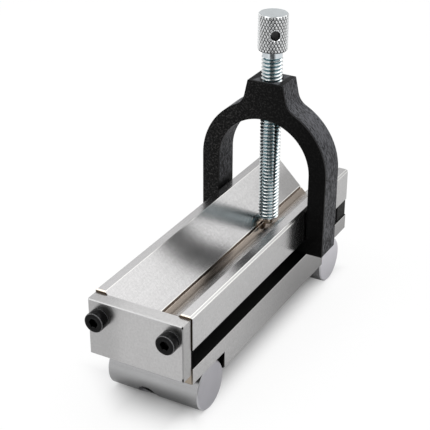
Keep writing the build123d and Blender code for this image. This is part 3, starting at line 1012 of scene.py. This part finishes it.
def white_sheet():
    """The floor's material. The camera sees mostly plain white light, and less of it close
    under the vise and where the rolls touch the floor, so that their shadow shows. For metal
    the floor is painted darker as painted reflection: a dark patch lying to the right, which
    gives round metal its dark band, painted shade where the rolls touch the floor, and a
    dimmer floor towards the rear and far to the left."""
    made = bpy.data.materials.new("white_sheet")
    made.use_nodes = True
    made.node_tree.nodes.clear()
    tree = Tree(made.node_tree)
    x, y, _ = tree.parts(tree.node("ShaderNodeTexCoord", out="Object"))
    rays = tree.node("ShaderNodeLightPath")
    glossy = rays.beside("Is Glossy Ray")
    aside, along = abs(x), abs(y - BODY_MIDDLE)

    def away(half_width, half_length, border):
        """0 over a rectangle under the block, and 1 past a soft border round it."""
        return tree.step(most(aside - half_width, along - half_length), 0.0, border)

    # How far a point is from the line along which the nearer roll touches the floor. It
    # counts for more beside the rear roll, and more is added towards the rolls' ends.
    front = abs(y - (BODY_MIDDLE - ROLL_OFFSET))
    rear = abs(y - (BODY_MIDDLE + ROLL_OFFSET)) * 2.2
    ends = most((-x - 9 * MM) * 0.75, 0.0) + most((x - 10 * MM) * 1.2, 0.0)
    touch = 1 - tree.step(most(least(front, rear) + ends, (x - 16 * MM) * 10.0), 0.0, 25 * MM)
    close = most(1 - away(8 * MM, 50 * MM, 15 * MM), touch)
    # Painted reflection: a dark patch on the floor that only glossy rays see.
    painted_dark_patch = tree.step(x - y * 0.34, 62 * MM, 68 * MM) * (1 - tree.step(x, 180 * MM, 300 * MM))
    painted_dark_patch = painted_dark_patch * tree.step(YOKE_AXIS - y - x * 0.46, 0.0, 24 * MM) * 0.92
    far_left = tree.step(x, -95 * MM, -130 * MM) * 0.25
    rearward = tree.step(y, 5 * MM, 60 * MM) * (0.04 + (1 - tree.step(x, 28 * MM, 48 * MM)) * 0.26)
    # Painted reflection: only glossy rays see the floor dimmed here.
    dim = most(most(most(painted_dark_patch, far_left), rearward), touch * 0.50) * glossy
    white = (1 - dim) * 0.85
    matt = tree.node("ShaderNodeBsdfDiffuse", values={"Color": tree.point(white, white, white)})
    share = rays.beside("Is Camera Ray") * (0.84 - close * 0.80)
    share = share + glossy * away(12 * MM, 55 * MM, 45 * MM) * (1 - dim) * 0.35
    share = share + rays.beside("Is Transmission Ray") * 0.30
    glow = tree.node("ShaderNodeEmission", values={"Color": (1, 1, 1, 1), "Strength": 1.04})
    both = tree.node("ShaderNodeMixShader", values=(share, matt, glow))
    end = made.node_tree.nodes.new("ShaderNodeOutputMaterial")
    made.node_tree.links.new(both.socket, end.inputs["Surface"])
    return made


def studio_floor():
    """A square sheet whose top lies at Z = 0."""
    far, thickness = 3.0, 0.01
    corners = ((-far, -far), (far, -far), (far, far), (-far, far))
    mesh = bmesh.new()
    loft(mesh, [[(x, y, z) for x, y in corners] for z in (0, -thickness)])
    piece("sheet", mesh, white_sheet())


def studio_world():
    """White to the camera. Metal sees a wall behind that is brighter upward and to the right,
    a window in front to the left, a dimmer room in front to the right, lit side walls and a
    ceiling with a dark gap; matt surfaces see one even, soft light."""
    world = bpy.data.worlds.new("studio")
    bpy.context.scene.world = world
    world.use_nodes = True
    world.node_tree.nodes.clear()
    tree = Tree(world.node_tree)
    x, y, z = tree.parts(tree.node("ShaderNodeTexCoord", out="Generated"))
    behind = tree.step(y, 0.15, 0.75)
    lift = tree.step(z + x * 0.1, 0.385, 0.505)
    window = tree.step(-(y * 0.9) - x * 0.42, 0.20, 0.60) * (1 - tree.step(z, 0.50, 0.72))
    wall = behind * (lift * 0.96 + 0.24) + window * 0.50 + 0.42
    room = tree.step(x * 0.71 - y * 0.70, 0.60, 0.76)
    wall = wall * (1 - room * 0.50) + tree.step(abs(x), 0.72, 0.92) * 0.45
    gap = tree.between(x * 0.88 + y * 0.47, -0.28, -0.16, 0.20, 0.32)
    above = tree.step(z, 0.74, 0.84) * tree.step(y, -0.42, -0.25)
    wall = wall * (1 - above) + above * (1 - gap * 0.95) * 2.2
    rays = tree.node("ShaderNodeLightPath")
    camera_ray, glossy = rays.beside("Is Camera Ray"), rays.beside("Is Glossy Ray")
    strength = wall * glossy + (1 - glossy) * (1 - camera_ray) * 0.55 + camera_ray
    glow = tree.node("ShaderNodeBackground", values={"Color": (1, 1, 1, 1), "Strength": strength})
    end = world.node_tree.nodes.new("ShaderNodeOutputWorld")
    world.node_tree.links.new(glow.socket, end.inputs["Surface"])


def softbox(name, place, aim, side, power, mirrored=True):
    """A square area lamp; metal doesn't show one that isn't mirrored."""
    lamp = bpy.data.lights.new(name, "AREA")
    lamp.shape = "RECTANGLE"
    lamp.size = side
    lamp.size_y = side
    lamp.energy = power
    made = bpy.data.objects.new(name, lamp)
    bpy.context.scene.collection.objects.link(made)
    made.location = place
    made.rotation_euler = (Vector(aim) - Vector(place)).to_track_quat("-Z", "Y").to_euler()
    made.visible_glossy = mirrored


def camera():
    """The photo's view: its focal length and optical centre in pixels of its square frame,
    its place in metres and its angles in degrees."""
    frame_pixels, focal_pixels = 430, 1204.9
    centre_right, centre_down = 225.93, 213.01
    place = (0.1833, -0.3430, 0.2545)
    azimuth, elevation, roll = (math.radians(angle) for angle in (28.22, 27.64, 0.48))
    made = bpy.data.cameras.new("camera")
    made.sensor_width = 36
    made.lens = focal_pixels / frame_pixels * made.sensor_width
    made.shift_x = (frame_pixels / 2 - centre_right) / frame_pixels
    made.shift_y = (centre_down - frame_pixels / 2) / frame_pixels
    made.clip_start = 0.01
    level = math.cos(elevation)
    back = Vector((math.sin(azimuth) * level, -math.cos(azimuth) * level, math.sin(elevation)))
    right = Vector((math.cos(azimuth), math.sin(azimuth), 0))
    turn = Matrix((right, back.cross(right), back)).transposed() @ Matrix.Rotation(roll, 3, "Z")
    eye = bpy.data.objects.new("camera", made)
    bpy.context.scene.collection.objects.link(eye)
    eye.matrix_world = Matrix.Translation(place) @ turn.to_4x4()
    bpy.context.scene.camera = eye


studio_floor()
studio_world()
softbox("top_softbox", (0.10, 0.12, 1.0), (0.03, 0.04, 0.04), 1.1, 5.4, mirrored=False)
softbox("front_softbox", (-0.46, -0.51, 0.86), (0, 0, 0.05), 0.6, 2.0)
camera()
bpy.context.scene.view_settings.view_transform = "Standard"
